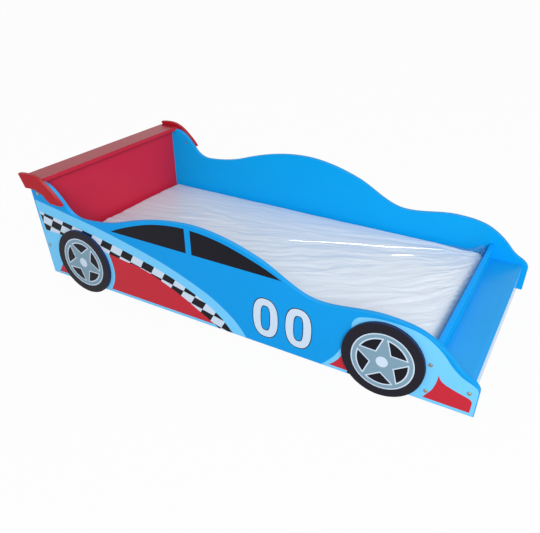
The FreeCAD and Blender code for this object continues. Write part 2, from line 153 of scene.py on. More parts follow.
# %% Finishes
class Finish:
    """A material with one Principled shader. Steady values go straight onto the shader's sockets."""

    def __init__(self, name, **steady):
        self.material = bpy.data.materials.new(name)
        self.material.use_nodes = True
        self.tree = self.material.node_tree
        self.shader = self.tree.nodes["Principled BSDF"]
        for socket, value in steady.items():
            self.shader.inputs[socket.replace("_", " ")].default_value = value

    def add(self, kind, settings=None, sockets=None, out=0):
        """Any node: settings such as its data type first, then its sockets."""
        node = self.tree.nodes.new(kind)
        for name, value in (settings or {}).items():
            setattr(node, name, value)
        for name, value in (sockets or {}).items():
            plug(value, node.inputs[name])
        return Wire(node.outputs[out])

    def place(self, scale=(1, 1, 1), turn=(0, 0, 0)):
        """Object coordinates in metres, stretched by scale and turned."""
        coordinates = self.add("ShaderNodeTexCoord", out="Object")
        return self.add("ShaderNodeMapping", None,
                        {"Vector": coordinates, "Scale": scale, "Rotation": turn})

    def noise(self, scale, detail=2.0, rough=0.5, vector=None):
        """Noise from 0 to 1 with scale waves to the metre."""
        return self.add("ShaderNodeTexNoise", None,
                        {"Vector": vector or self.place(), "Scale": scale, "Detail": detail,
                         "Roughness": rough})

    def step(self, value, low, high):
        """0 below low, 1 above high and a smooth climb between."""
        return self.add("ShaderNodeMapRange", {"interpolation_type": "SMOOTHSTEP"},
                        {"Value": value, "From Min": low, "From Max": high})

    def blend(self, factor, first, second):
        """The first colour where factor is 0, the second where it is 1."""
        return self.add("ShaderNodeMix", {"data_type": "RGBA"}, {0: factor, 6: first, 7: second}, out=2)

    def bump(self, height, depth, strength=1.0):
        """A bumped normal from a height of 0 to 1 that stands for depth in metres."""
        return self.add("ShaderNodeBump", None,
                        {"Height": height, "Distance": depth, "Strength": strength})

    def feed(self, **varying):
        """Links what changes over the surface to the shader."""
        for socket, value in varying.items():
            plug(value, self.shader.inputs[socket.replace("_", " ")])
        return self.material


def screen(red, green, blue):
    """A colour seen on a screen, 0 to 255, as linear light: ((c / 255 + 0.055) / 1.055) ** 2.4."""
    return tuple(((c / 255 + 0.055) / 1.055) ** 2.4 for c in (red, green, blue)) + (1.0,)


print("shader helpers ready")

# %% [markdown]
# ## Pieces from grids of points
#
# Every new piece is a grid of points, worked out with numpy as whole arrays. To become a mesh it
# needs its points numbered and the four corners of each cell listed. Its object stays at the
# origin, as the boards' objects do.

# %% Meshes from grids
def numbered(columns, rows, first=0):
    """A grid of point numbers that count up from first."""
    return first + np.arange(columns * rows).reshape(columns, rows)


def cells_of(ids):
    """The quads of a grid of point numbers: (i, j), (i + 1, j), (i + 1, j + 1), (i, j + 1)."""
    return np.stack([ids[:-1, :-1], ids[1:, :-1], ids[1:, 1:], ids[:-1, 1:]], -1).reshape(-1, 4)


def make_piece(name, points, faces, finishes, smooth=True):
    """An object at the origin from points in metres and faces, shaded smooth or flat."""
    mesh = bpy.data.meshes.new(name)
    mesh.from_pydata(points, [], faces, shade_flat=not smooth)
    for finish in finishes:
        mesh.materials.append(finish)
    made = bpy.data.objects.new(name, mesh)
    bpy.context.collection.objects.link(made)
    return made


print("cells of a grid of 3 x 2 points:", cells_of(numbered(3, 2)).tolist())

# %% [markdown]
# ## Floor and light
#
# The picture is on white with hardly a shadow, which a large white floor and a white sky give. A
# floor that is only lit never comes out quite white, so to the camera, and in reflections, it also
# glows: a Light Path node tells those rays from the ones that light the boards. For the latter the
# sky is dimmer, because a wide lamp in front of the nose gives the rest, and so one side is softly
# darker. A second lamp, long like a tube, hangs over the far side. Matt surfaces don't see it, and
# glossy film shows it as thin white lines.

# %% Floor, sky and lamps
SKY_LIGHT = 0.62
FLOOR_HALF = 45.0
FLOOR_GLOW = 0.96
FLOOR_GREY = (0.6, 0.6, 0.6, 1)


def seen_directly(tree):
    """1 for camera, mirror and glass rays, 0 for the rays that carry light."""
    path = tree.nodes.new("ShaderNodeLightPath")
    return (Wire(path.outputs["Is Camera Ray"]).most(Wire(path.outputs["Is Glossy Ray"]))
            .most(Wire(path.outputs["Is Transmission Ray"])))


def make_sky():
    world = bpy.data.worlds.new("white_sky")
    world.use_nodes = True
    background = world.node_tree.nodes["Background"]
    background.inputs["Color"].default_value = (1, 1, 1, 1)
    seen = seen_directly(world.node_tree)
    plug(SKY_LIGHT + seen * (1 - SKY_LIGHT), background.inputs["Strength"])
    bpy.context.scene.world = world


def make_floor():
    finish = Finish("pale_floor", Roughness=0.9, Base_Color=FLOOR_GREY)
    tree = finish.tree
    glow = tree.nodes.new("ShaderNodeEmission")
    mixed = tree.nodes.new("ShaderNodeMixShader")
    plug(seen_directly(tree) * FLOOR_GLOW, mixed.inputs[0])
    tree.links.new(finish.shader.outputs[0], mixed.inputs[1])
    tree.links.new(glow.outputs[0], mixed.inputs[2])
    tree.links.new(mixed.outputs[0], tree.nodes["Material Output"].inputs["Surface"])
    corners = [(x * FLOOR_HALF, y * FLOOR_HALF, 0) for x, y in ((-1, -1), (1, -1), (1, 1), (-1, 1))]
    make_piece("floor", corners, [(0, 1, 2, 3)], [finish.material], smooth=False)


def lamp(name, place, target, width, height, watts, heading=None):
    """A rectangular lamp at place that faces target. heading turns its long side about Z."""
    data = bpy.data.lights.new(name, "AREA")
    data.shape = "RECTANGLE"
    data.size, data.size_y, data.energy = width, height, watts
    made = bpy.data.objects.new(name, data)
    made.location = place
    aim = np.subtract(target, place)
    if heading is None:
        heading = math.atan2(-aim[0], aim[1])
    forward = aim[1] * math.cos(heading) - aim[0] * math.sin(heading)
    made.rotation_euler = (math.atan2(forward, -aim[2]), 0, heading)
    bpy.context.collection.objects.link(made)
    return made


make_sky()
make_floor()
lamp("front_light", (2.5, -3.6, 2.4), target=(0.0, 0.0, 0.1), width=2.6, height=1.8, watts=175)
tube = lamp("tube_light", (-0.04, 1.39, 3.0), target=(0.27, 0.19, 0.15), width=1.9, height=0.7,
            watts=90, heading=math.radians(22))
tube.visible_diffuse = False
bpy.context.scene.view_settings.view_transform = "Standard"
print("floor, sky and lamps ready")

# %% [markdown]
# ## Painted boards
#
# Every board is fibreboard under gloss paint. The paint pulls into a very fine ripple like the skin
# of an orange, its shine varies a little, and on the sawn edges the fibres drink it, so there the
# coat is rougher. The colour of the sawn edges differs too, and that is painted light: painted shade
# on the blue edges, and a painted reflection of the blue side on the wheels' black edges, while on
# the spoiler the broad faces carry the painted shade. A point lies on a sawn edge if it is inside
# the board's thickness, so the mask is the distance to the nearer broad face, worked out from the
# coordinate across the board. The sides' outer faces carry painted shade, a blue a little deeper
# than inside, and the footboard is painted lighter, which is painted light. The front of the nose
# board has a clear lacquer that mirrors the white floor.

# %% Paint
PAINT_ROUGHNESS = 0.3
CLOUD_SCALE = 7.0              # waves to the metre, as are the next two scales
RIPPLE_SCALE = 330.0
FIBRE_SCALE = 900.0
DEEP_SHADE = 0.94              # of the colour, where the coat is thickest
RIPPLE_DEPTH = 0.00005         # metres
FACE_SHELL = (0.0007, 0.0002)  # metres under an outer face between which its colour sets in
SAWN_SHELL = (0.0007, 0.0014)  # and under both faces, between which the sawn edge does


def paint(name, colour, across=None, faces=None, edge=None, outside_shade=None, shine=PAINT_ROUGHNESS,
          gloss=0.12, lacquer=0.0):
    """Gloss paint. across is the axis of the board's thickness, faces its two coordinates there.

    The sawn edges may have a colour of their own, and so may the face at the larger coordinate.
    Where these differ from colour, that is painted shade, or on the wheels a painted reflection.
    That face may also carry a clear lacquer.
    """
    finish = Finish(name, Specular_IOR_Level=gloss, Coat_Roughness=0.06)
    cloud = finish.noise(CLOUD_SCALE, 3.0)
    ripple = finish.noise(RIPPLE_SCALE, 1.0)
    deep = tuple(DEEP_SHADE * c for c in colour[:3]) + (1.0,)
    tone = finish.blend(cloud, deep, colour)
    shine_map = shine + (cloud - 0.5) * 0.08 + (ripple - 0.5) * 0.06
    height = ripple
    if across is not None:
        place = finish.add("ShaderNodeSeparateXYZ", None, {"Vector": finish.place()}, out=across)
        if across == 1:
            place = abs(place)
        depth = (place - min(faces)).least(max(faces) - place)
        front = finish.step(place, max(faces) - FACE_SHELL[0], max(faces) - FACE_SHELL[1])
        # painted shade: the outer face takes a deeper colour of its own
        if outside_shade is not None:
            tone = finish.blend(front, tone, outside_shade)
        if lacquer:
            finish.feed(Coat_Weight=front * lacquer)
        sawn = finish.step(depth, *SAWN_SHELL)
        fibre = finish.noise(FIBRE_SCALE, 2.0, 0.7)
        # painted light on the sawn edges: their colour is painted shade, or on the wheels a painted
        # reflection
        tone = finish.blend(sawn, tone, edge)
        shine_map = shine_map + sawn * 0.12
        height = ripple + sawn * fibre * 0.7
    return finish.feed(Base_Color=tone, Roughness=shine_map,
                       Normal=finish.bump(height, RIPPLE_DEPTH, 0.6))


def dress(material, *names):
    """Gives these CAD nodes a finish, through their objects' material slots."""
    for name in names:
        for slot in nodes[name].material_slots:
            slot.material = material


BLUE = screen(8, 160, 230)
# painted shade: the sides' outer faces in a deeper blue than their inner faces
SHADED_OUTSIDE_BLUE = screen(10, 142, 214)
# painted shade: the blue boards' sawn edges, darker against the light from above
SHADED_BLUE_EDGE = screen(6, 150, 222)
HOOD_BLUE = screen(16, 157, 230)
RED = screen(208, 42, 68)
# painted shade: the spoiler's broad faces a darker red, under the sheen on its top; its edges keep the
# paint's own red
SHADED_SPOILER_RED = screen(156, 22, 42)
SPOILER_EDGE = screen(200, 34, 58)
# painted light: the footboard a lighter blue than the sides, against the shade it gets in the bay
LIT_FOOT_BLUE = screen(6, 175, 244)
# painted shade: its top edge deeper and bluer, against the light from above
SHADED_FOOT_EDGE = screen(0, 156, 250)
# painted reflection: the blue side seen in the wheels' black sawn edges
NAVY_REFLECTION = screen(34, 48, 92)
PLATE_RED = screen(166, 18, 32)
TYRE_BLACK = screen(26, 24, 34)


def paint_board(node, name, colour, axis, edge, **more):
    """Paints one board, with its broad faces read from its box."""
    dress(paint(name, colour, axis, [corner[axis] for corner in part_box(node)], edge, **more), node)


dress(paint("blue_side_paint", BLUE, 1, (SIDE_INNER, SIDE_FACE), SHADED_BLUE_EDGE, SHADED_OUTSIDE_BLUE, gloss=0.08),
      "side_panel_right", "side_panel_left")
paint_board("footboard_panel", "blue_footboard_paint", LIT_FOOT_BLUE, 0, SHADED_FOOT_EDGE, gloss=0.05)
paint_board("hood_board", "blue_hood_paint", HOOD_BLUE, 2, SHADED_BLUE_EDGE)
paint_board("nose_board", "blue_nose_paint", HOOD_BLUE, 0, HOOD_BLUE, lacquer=0.62)
paint_board("headboard_panel", "red_headboard_paint", RED, 0, RED)
paint_board("spoiler_board", "red_spoiler_paint", SHADED_SPOILER_RED, 2, SPOILER_EDGE, gloss=0.17)
plate_face = -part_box("spoiler_end_plate_right")[0][1]
dress(paint("red_plate_paint", PLATE_RED, 1, (SIDE_FACE, plate_face), PLATE_RED),
      "spoiler_end_plate_right", "spoiler_end_plate_left")
dress(paint("black_wheel_paint", TYRE_BLACK, 1, (SIDE_FACE, WHEEL_FACE), NAVY_REFLECTION, shine=0.36),
      *["wheel_disc_%s_%s" % (end, side) for end in ("rear", "front") for side in SIDES])
print("painted boards dressed")

# %% [markdown]
# ## Bare wood and plated steel
#
# The slats and battens are planed pine and the dowels are beech. Pine shows dark and light bands
# that run along the piece: noise that is squeezed across the grain and stretched along it. The
# bolts, nuts and screws are zinc plated, a grey metal with a faint yellow cast.

# %% Wood and metal
BAND_WAVES = 2.2  # to the metre along the grain
PORE_WAVES = 40.0


def wood(name, pale, dark, along, grain=75.0):
    """Planed wood whose grain runs along axis 0, 1 or 2: noise with few waves along and many across."""
    finish = Finish(name, Specular_IOR_Level=0.35)
    scale = [grain, grain, grain]
    scale[along] = BAND_WAVES
    bands = finish.noise(1.0, 4.0, 0.6, finish.place(tuple(scale)))
    scale[along] = PORE_WAVES
    pores = finish.noise(9.0, 2.0, 0.6, finish.place(tuple(scale)))
    tone = finish.blend(finish.step(bands, 0.35, 0.68), pale, dark)
    return finish.feed(Base_Color=tone, Roughness=0.5 + bands * 0.22,
                       Normal=finish.bump(bands * 0.6 + pores * 0.4, 0.0003))


def plated_steel():
    """Zinc plate: metal with cloudy shine and fine marks."""
    finish = Finish("zinc_plate", Metallic=1.0)
    cloud = finish.noise(240.0, 3.0)
    tone = finish.blend(cloud, screen(132, 124, 110), screen(188, 180, 168))
    return finish.feed(Base_Color=tone, Roughness=0.26 + cloud * 0.2,
                       Normal=finish.bump(finish.noise(1500.0, 1.0), 0.00004))


slat_names = sorted(name for name in nodes if name.startswith("slat_") and name[5:].isdigit())
dress(wood("pine_slats", screen(226, 193, 142), screen(186, 138, 84), 1), *slat_names)
dress(wood("pine_battens", screen(222, 188, 138), screen(180, 132, 80), 0),
      "support_batten_right", "support_batten_left")
dress(wood("beech_dowels", screen(206, 166, 122), screen(170, 124, 84), 1, 400.0),
      "headboard_dowels", "footboard_dowels", "nose_board_dowels", "hood_dowels", "spoiler_dowels")
steel_names = [name for name in nodes if name.endswith(("_bolts", "_nuts", "_screws"))]
dress(plated_steel(), *steel_names)
print("slats:", len(slat_names), " groups of steel:", len(steel_names))

# %% [markdown]
# ## Drawing with curves
#
# A print is a flat shape, and nearly all of the shapes here lie between two lines: a stripe between
# its upper and its lower edge, a window between its sill and its arch. So a shape is made as a
# ruled sheet: both lines are sampled alike and joined by straight rungs. A line is either straight
# or a smooth curve through a few given points.

# %% Curves and ruled sheets
HAIR = 0.05  # mm, the least width that a drawn shape keeps


def curve(points, count=48):
    """A smooth line through the points, in cubic pieces that meet with one slope.

    On the piece from P1 to P2, with t from 0 to 1 and slopes m1 = (P2 - P0) / 2, m2 = (P3 - P1) / 2:
    P(t) = (2t^3 - 3t^2 + 1) P1 + (t^3 - 2t^2 + t) m1 + (3t^2 - 2t^3) P2 + (t^3 - t^2) m2.
    """
    knots = np.array(points, float)
    padded = np.vstack([2 * knots[0] - knots[1], knots, 2 * knots[-1] - knots[-2]])
    reach = np.r_[0, np.cumsum(np.hypot(*np.diff(knots, axis=0).T))]
    at = np.linspace(0, reach[-1], count)
    piece = np.clip(np.searchsorted(reach, at, side="right") - 1, 0, len(knots) - 2)
    t = ((at - reach[piece]) / (reach[piece + 1] - reach[piece]))[:, None]
    before, start, end, after = (padded[piece + k] for k in range(4))
    slope_start, slope_end = (end - before) / 2, (after - start) / 2
    return ((2 * t**3 - 3 * t**2 + 1) * start + (t**3 - 2 * t**2 + t) * slope_start
            + (3 * t**2 - 2 * t**3) * end + (t**3 - t**2) * slope_end)


def line(start, end, count=48):
    """Evenly spaced points from start to end."""
    return np.linspace(start, end, count)


def ruled(first, second, rungs=3):
    """A grid of points P(u, v) = (1 - v) first(u) + v second(u), with v in rungs steps."""
    v = np.linspace(0, 1, rungs)[None, :, None]
    return (1 - v) * first[:, None, :] + v * second[:, None, :]


print("curve check:", np.round(curve([(0, 0), (1, 1), (2, 0)], 3), 3).tolist())

# %% [markdown]
# A print has next to no thickness. Here each one is a closed skin a tenth of a millimetre thick,
# and a print that lies on another starts a little further out, so that no two surfaces share
# a place. The left side of the bed is the mirror image of the right one, so each shape is drawn
# once and stuck on twice, with its faces turned to look outwards.

# %% Sticking prints on
SKIN = 0.00012    # metres of height for each layer of print
SKIN_SHARE = 0.8  # of that height is the print, and the rest is a gap


def facing_out(quads, points, side):
    """Turns the quads round where their area in the x-z plane has the wrong sign for that side."""
    corners = points[quads]
    across = corners[:, 2] - corners[:, 0]
    along = corners[:, 3] - corners[:, 1]
    area = across[:, 0] * along[:, 2] - across[:, 2] * along[:, 0]
    wrong = area * side > 0
    quads[wrong] = quads[wrong][:, ::-1]
    return quads


def stick(name, patches, face, side, layer, axle=REAR_AXLE):
    """Patches of (grid in mm from the axle, finish) as one thin piece on a face at distance face."""
    points, quads, finish_of, finishes = [], [], [], []
    count = 0
    for grid, finish in patches:
        flat = grid.reshape(-1, 2) * MM
        height = np.full(len(flat), side * (face + layer * SKIN))
        points.append(np.column_stack([axle + flat[:, 0], height, AXLE_HEIGHT + flat[:, 1]]))
        cells = cells_of(numbered(*grid.shape[:2], count))
        count += len(flat)
        quads.append(cells)
        if finish not in finishes:
            finishes.append(finish)
        finish_of.append(np.full(len(cells), finishes.index(finish)))
    points = np.vstack(points)
    quads = facing_out(np.vstack(quads), points, side)
    made = make_piece(name, points.tolist(), quads.tolist(), finishes, smooth=False)
    made.data.polygons.foreach_set("material_index", np.concatenate(finish_of).astype(np.int32))
    skin = made.modifiers.new("skin", "SOLIDIFY")
    skin.thickness = SKIN * SKIN_SHARE
    skin.offset = -1.0
    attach(made, "root")


PRINT_BLUE = paint("light_blue_print", screen(108, 192, 238))
PRINT_RED = paint("red_print", screen(184, 36, 52))
PRINT_WHITE = paint("white_print", screen(192, 208, 226))
PRINT_BLACK = paint("black_print", screen(14, 14, 24))
PRINT_GREY = paint("grey_print", screen(118, 148, 166))
print("print colours ready")

# %% [markdown]
# ## The stripe, the chequered band and the red panel
#
# A light blue stripe sweeps down from the tail and ends at the bottom behind the doors. It covers
# the whole lower tail too, and a red panel with an arc cut out for the wheel lies on it. Between
# stripe and panel runs the chequered band, like a flag bent along the car.

# %% Light blue areas
TAIL_TOP = (-201.5, 195.0)
TAIL_BOTTOM = (-184.2, PRINT_BOTTOM)
STRIPE_END = (680.0, PRINT_BOTTOM)
stripe_top = curve([TAIL_TOP, (-100, 180), (0, 165), (100, 149), (200, 129), (300, 107), (400, 79),
                    (500, 42), (560, 14), (620, -26), (652, -56), STRIPE_END], 90)
stripe_bottom = line(TAIL_BOTTOM, (STRIPE_END[0] - 1, PRINT_BOTTOM), 90)

NOSE_BOTTOM = (1388.2, PRINT_BOTTOM)
arch_top = curve([(1027, 60), (1028, 88), (1040, 107), (1060, 116), (1100, 124.5), (1150, 126.5),
                  (1200, 122), (1240, 108), (1280, 79), (1311, 45), (1338, 23.5), (1365, 11.5),
                  (1379, 4.5), (1386, -3), (1388.2, -14)], 120)
arch_bottom = line((1027, PRINT_BOTTOM), NOSE_BOTTOM, 120)
wedge_edge = curve([(944, PRINT_BOTTOM), (964, -70), (980, -50), (992, -30), (1003, -5), (1012, 30)], 30)
wedge_right = line((1040, PRINT_BOTTOM), (1040, 30), 30)
print("stripe from x = %.0f to %.0f mm" % (stripe_top[0, 0], stripe_top[-1, 0]))

# %% Chequered band
# The squares lie on a slanted lattice, and the band's own edges cut through its rows.
SQUARE = 43.93
COLUMNS = range(-2, 19)
ROWS = range(-3, 4)
CHEQUER_STEPS = 6       # pieces to each square's length
THINNEST_ROW = 0.004    # a cut row thinner than this share of a row is left out
SMALLEST_PATCH = 1.5    # and so is a patch under this many mm^2
LATTICE_START = -130.0
LATTICE_HEIGHT = 130.0
LATTICE_FALL = 0.2      # of the middle row, mm for each mm along the car
LATTICE_SAG = 0.000021  # and mm for each mm^2
ROW_STEP = np.array([-16.5, -28.0])
CUT_ROUNDS = 12         # rounds in which a cut settles on the band's edge
band_upper = curve([(-215, 156), (-160, 148), (-100, 140), (-40, 132), (20, 124), (110, 110), (200, 93),
                    (320, 67), (400, 44), (450, 25), (500, 4), (550, -23), (590, -52), (622, -87),
                    (640, -112)], 160)
band_lower = curve([(-215, 83), (-130, 81.5), (0, 75), (128, 62), (200, 53), (260, 46), (320, 30.5),
                    (380, 8.5), (440, -18), (500, -50), (560, -84), (590, -102), (640, -132)], 160)
band_tail = np.array([(-192.0, 156.0), (-178.0, 82.0)])


def chequers(upper, lower, black, white):
    """Patches of the band: lattice columns s and rows t, with the rows cut off at the band's edges.

    The lattice point is P(s, t) = (x(s), LATTICE_HEIGHT - LATTICE_FALL d - LATTICE_SAG d^2)
    + t ROW_STEP, where x(s) = LATTICE_START + (s - 1) SQUARE and d = x(s) - LATTICE_START. A
    square is black where s + t is odd.
    """
    s = np.arange(COLUMNS.start * CHEQUER_STEPS, COLUMNS.stop * CHEQUER_STEPS + 1) / CHEQUER_STEPS
    x = LATTICE_START + (s - 1) * SQUARE
    d = x - LATTICE_START
    z = LATTICE_HEIGHT - LATTICE_FALL * d - LATTICE_SAG * d**2
    cuts = []
    for edge in (upper, lower):
        t = np.zeros_like(s)
        for _ in range(CUT_ROUNDS):
            reached = np.interp(x + t * ROW_STEP[0], edge[:, 0], edge[:, 1])
            t = (reached - z) / ROW_STEP[1]
        cuts.append(t)
    top_cut, bottom_cut = cuts
    patches = []
    for column in COLUMNS:
        first = (column - COLUMNS.start) * CHEQUER_STEPS
        span = slice(first, first + CHEQUER_STEPS + 1)
        for row in ROWS:
            high = np.clip(row, top_cut[span], bottom_cut[span])
            low = np.clip(row + 1, top_cut[span], bottom_cut[span])
            keep = low - high > THINNEST_ROW
            if keep.sum() < 2:
                continue
            start = np.column_stack([x[span], z[span]])[keep]
            grid = ruled(start + high[keep][:, None] * ROW_STEP, start + low[keep][:, None] * ROW_STEP, 2)
            tail = np.interp(-grid[..., 1], -band_tail[:, 1], band_tail[:, 0])
            grid[..., 0] = np.maximum(grid[..., 0], tail)
            grid[..., 1] = np.maximum(grid[..., 1], PRINT_BOTTOM)
            if np.ptp(grid[..., 0]) * np.ptp(grid[..., 1]) > SMALLEST_PATCH:
                patches.append((grid, black if (column + row) % 2 else white))
    return patches


band_patches = chequers(band_upper, band_lower, PRINT_BLACK, PRINT_WHITE)
print("squares in the band:", len(band_patches))

# %% Red panels
RED_BOTTOM = -83.0
red_top = curve([(124, 62.5), (200, 53.3), (260, 46.3), (320, 30.8), (380, 8.8), (440, -17.7),
                 (500, -49.7), (558, RED_BOTTOM)], 60)
red_arc = curve([(124, 62.5), (133, 32), (137.5, 0), (134, -30), (127, -52), (110, RED_BOTTOM)], 40)
red_foot = line((110, RED_BOTTOM), (557, RED_BOTTOM), 60)
red_heel = ruled(curve([(-156, RED_BOTTOM), (-144, -68), (-128, -42), (-118, -20)], 16),
                 line((-90, RED_BOTTOM), (-90, -20), 16))
red_toe = ruled(curve([(967, RED_BOTTOM), (982, -70), (997, -50), (1010, -25)], 16),
                line((1040, RED_BOTTOM), (1040, -25), 16))
nose_left = curve([(1251, RED_BOTTOM), (1258, -70), (1270, -50), (1276.5, -30), (1280, -10), (1281.5, 5)], 24)
nose_top = curve([(1281.5, 5), (1289, -8), (1300, -16.5), (1320, -24), (1340, -30), (1360, -35),
                  (1371, -39), (1377.5, -47), (1378, -60), (1377, RED_BOTTOM)], 48)
ARC_FADE = 160.0  # mm of the panel's length that bend to the wheel's arc


def red_panel(rungs=9):
    """The side panel: ruled from foot to top, with its rear end bent to the wheel's arc.

    Each line along the panel is moved by (1 - (x - x0) / ARC_FADE)^2 times the step from its own
    start to the arc.
    """
    sheet = ruled(red_foot, red_top, rungs)
    arc = red_arc[::-1][np.linspace(0, len(red_arc) - 1, rungs).round().astype(int)]
    fade = np.clip(1 - (sheet[..., :1] - sheet[:1, :, :1]) / ARC_FADE, 0, 1)
    return sheet + fade**2 * (arc - sheet[:1])


red_sheet = red_panel()
print("red panel corners:", np.round(red_sheet[0, 0]), np.round(red_sheet[-1, -1]))

# %% [markdown]
# The nose patch has a peak like a flame, so it is ruled between its outline on the left and its
# outline on the right, one rung per height.

# %% Nose patch
nose_heights = np.linspace(RED_BOTTOM, 5, 40)
left_at = np.interp(nose_heights, nose_left[:, 1], nose_left[:, 0])
right_at = np.interp(-nose_heights, -nose_top[:, 1], nose_top[:, 0])
nose_sheet = ruled(np.column_stack([left_at, nose_heights]),
                   np.column_stack([np.maximum(right_at, left_at + HAIR), nose_heights]), 3)
print("nose patch: %.0f mm high" % np.ptp(nose_heights))

# %% [markdown]
# ## Windows and the race number
#
# The windows share one sill and one arch, with a post between them. The number is two plain zeros:
# each is a ring between two ovals that are squarer than an ellipse, printed white inside a thin
# dark outline.

# %% Windows and number
SILL = 153.3
TIP = 0.4  # mm, height of a window's blunt tip
rear_window = ruled(
    line((153, SILL), (465, SILL), 60),
    curve([(153, SILL + TIP), (170, 162.5), (200, 175.5), (260, 198), (320, 216.5), (380, 229), (430, 235),
           (465, 237)], 60))
front_window = ruled(
    line((486.5, SILL), (804, SILL), 60),
    curve([(486.5, 236), (530, 233.5), (590, 225), (650, 210.5), (700, 195), (750, 177.5), (804, SILL + TIP)],
          60))


def oval(centre, half_width, half_height, power, count=96):
    """A closed squarish oval: |x / a|^n + |z / b|^n = 1, as (a |cos|^(2/n), b |sin|^(2/n))."""
    turn = np.linspace(0, 2 * math.pi, count + 1)
    c, s = np.cos(turn), np.sin(turn)
    return np.column_stack([centre[0] + half_width * np.sign(c) * np.abs(c)**(2 / power),
                            centre[1] + half_height * np.sign(s) * np.abs(s)**(2 / power)])


OUTLINE = 2.8                    # mm, the dark line round a digit
OUTER_OVAL = (42.8, 68.5, 2.45)  # half width, half height and power
INNER_OVAL = (16.8, 45.0, 2.9)
DIGIT_PLACES = ((750.5, 7.8), (863.0, 7.8))


def zero(centre):
    """The white ring and the dark outline rings of one digit."""
    (a, b, n), (c, d, m) = OUTER_OVAL, INNER_OVAL
    outer = [oval(centre, a + grow, b + grow, n) for grow in (0, OUTLINE)]
    inner = [oval(centre, c - shrink, d - shrink, m) for shrink in (0, OUTLINE)]
    return [(ruled(inner[0], outer[0], 3), PRINT_WHITE), (ruled(outer[0], outer[1], 2), PRINT_BLACK),
            (ruled(inner[1], inner[0], 2), PRINT_BLACK)]


number_patches = [patch for place in DIGIT_PLACES for patch in zero(place)]
print("patches of the number:", len(number_patches))

# %% Stick the livery on both sides
blue_sheets = [ruled(stripe_bottom, stripe_top), ruled(arch_bottom, arch_top),
               ruled(wedge_edge, wedge_right)]
red_sheets = [red_sheet, red_heel, red_toe, nose_sheet]
LIVERY = (
    ("light_blue", [(sheet, PRINT_BLUE) for sheet in blue_sheets], 1),
    ("red", [(sheet, PRINT_RED) for sheet in red_sheets], 2),
    ("chequered", band_patches, 3),
    ("window", [(sheet, PRINT_BLACK) for sheet in (rear_window, front_window)], 1),
    ("number", number_patches, 1),
)
for word, side in SIDES.items():
    for print_name, patches, layer in LIVERY:
        stick("%s_print_%s" % (print_name, word), patches, SIDE_FACE, side, layer)
print("livery on both sides")

# %% [markdown]
# ## Printed rims
#
# The wheels are flat black discs, and their rims are printed: a pale disc, a grey one on it, five
# windows with pale outlines, and a hub. Each window is bounded by an arc and by two edges of a
# five-pointed star, so in polar measures its inner line is r = d / cos(angle - edge angle). The
# front wheels were mounted with a point of the star up, and the rear ones with a point down.

# %% Rims
RIM = 92.0
RIM_LINE = 3.6
HUB = 17.5
WINDOW_FRAME = (27.6, 77.4)     # distances of its star edges and its arc from the middle
WINDOW_PANE = (31.2, 73.4)
THINNEST = 0.01                 # mm, where a star edge meets the arc
STAR_EDGE = math.radians(72.2)  # from a point of the star to the normal of its edge
POINT_TURN = 2 * math.pi / 5
# The prints sit a little turned on their discs, and a little off their middle, in mm.
PRINT_TURN = {"rear": math.radians(1.8), "front": math.radians(-1.8)}
PRINT_SHIFT = {"rear": (0.6, 0.0), "front": (1.4, -1.8)}


def disc(radius, count=96):
    """A full disc as a ring grid: (r cos a, r sin a), with r from a hair's width to radius."""
    turn = np.linspace(0, 2 * math.pi, count + 1)
    around = np.column_stack([np.cos(turn), np.sin(turn)])
    return ruled(around * HAIR, around * radius, 4)


def star_window(edge_distance, radius, turn, count=33):
    """One window: from the star's two edges, at that distance from the hub, out to an arc."""
    first = STAR_EDGE - math.acos(edge_distance / radius)
    angle = np.linspace(first, POINT_TURN - first, count)
    folded = np.minimum(angle, POINT_TURN - angle)
    reach = edge_distance / np.cos(folded - STAR_EDGE)
    around = np.column_stack([np.cos(angle + turn), np.sin(angle + turn)])
    return ruled(around * np.minimum(reach, radius - THINNEST)[:, None], around * radius, 3)


def rim_layers(turn):
    """The print of one wheel, as lists of patches from the lowest layer up."""
    windows = [turn + k * POINT_TURN for k in range(5)]
    return [
        [(disc(RIM), PRINT_WHITE)],
        [(disc(RIM - RIM_LINE), PRINT_GREY)],
        [(star_window(*WINDOW_FRAME, t), PRINT_WHITE) for t in windows] + [(disc(HUB), PRINT_WHITE)],
        [(star_window(*WINDOW_PANE, t), PRINT_BLACK) for t in windows],
    ]


for word, side in SIDES.items():
    for end, axle, up in (("rear", REAR_AXLE, -1), ("front", FRONT_AXLE, 1)):
        for layer, patches in enumerate(rim_layers(up * math.pi / 2 + PRINT_TURN[end]), 1):
            placed = [(grid + PRINT_SHIFT[end], finish) for grid, finish in patches]
            stick("rim_print_%s_%s_%d" % (end, word, layer), placed, WHEEL_FACE, side, layer, axle)
print("rims printed")

# %% [markdown]
# ## The mattress
#
# The mattress is a block of foam in a clear bag. The foam gives it a soft crown and rounded edges;
# the bag is loose, and it was pulled tight and bunched at the far corner of the foot end, so its
# wrinkles run towards that corner. A cloth simulation could fold the bag, but on a mesh that runs
# in seconds its folds are as coarse as the mesh and point any way. So the wrinkles are drawn: noise
# on the pad's plan is smeared along the pull of the bag, as a brush drags wet paint, and the
# streaks that it leaves are the heights of the film.

# %% Mattress profile
# Lengths in metres, as on the whole pad from here on.
PAD_STEP = 0.005
PAD_ROUND = 0.022   # radius of the shoulders along the sides and at the head
FOOT_ROUND = 0.030  # and at the foot, which the bag pulls rounder
CROWN_RISE = 0.0055
SIDE_DIP = 0.0060   # the long edges lie this much below the top of the pad's box
SIDE_TOP = pad_high[2] - SIDE_DIP


